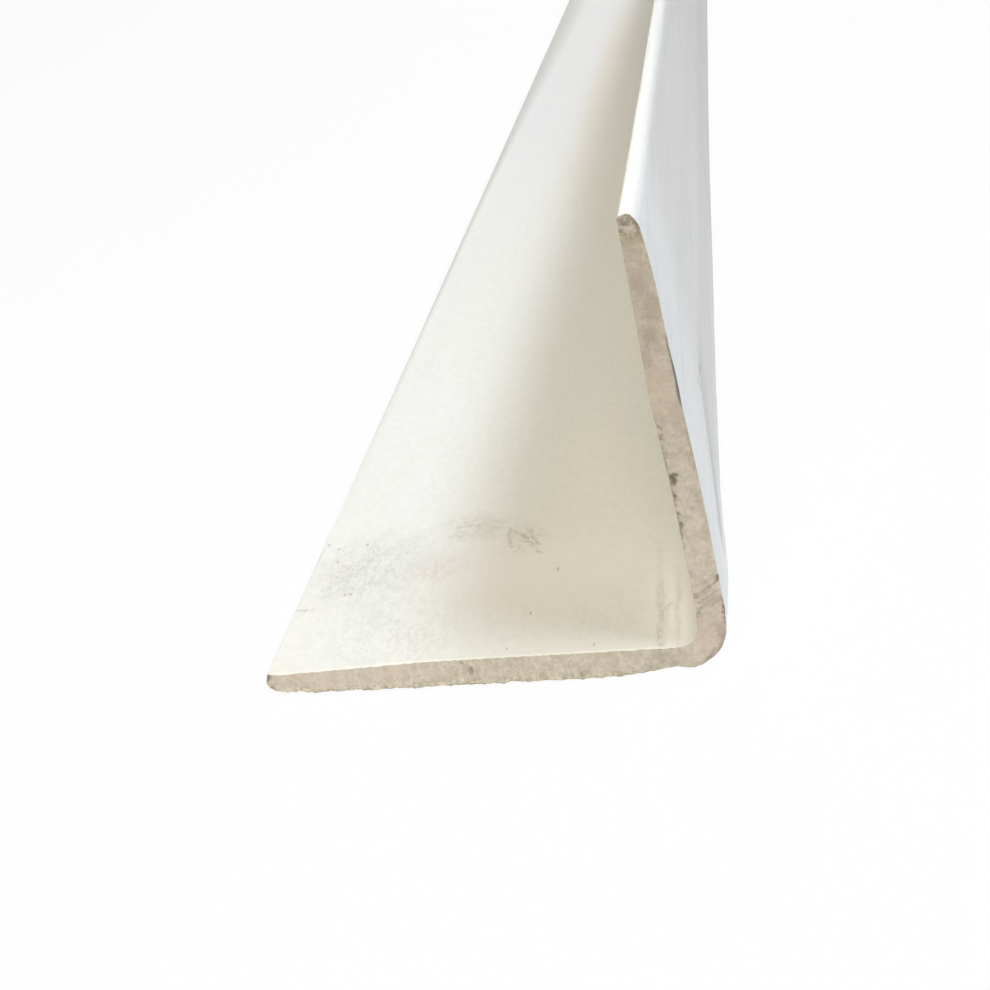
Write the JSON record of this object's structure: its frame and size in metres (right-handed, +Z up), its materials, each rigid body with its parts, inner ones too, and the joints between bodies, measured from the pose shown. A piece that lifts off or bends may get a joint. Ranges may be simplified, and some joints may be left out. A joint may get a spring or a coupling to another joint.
{
  "type": "pvc corner angle",
  "caption": "Equal-leg L-section PVC corner angle with a rounded outside corner and leg tips thinned from the inside, sawn square to length, for covering and trimming corners.",
  "frame": {"origin": "on the floor under the middle of the bounding box: half way along the length and half way across the base leg", "axes": "+Y along the length, from the sawn near end to the far end; +X across the base leg, from its tip to the outside corner; +Z up along the upright leg"},
  "size_m": [0.05, 1, 0.05],
  "materials": {
    "pvc_white": "satin"
  },
  "bodies": {
    "root": {"corner_angle": "pvc_white"}
  },
  "joints": []
}
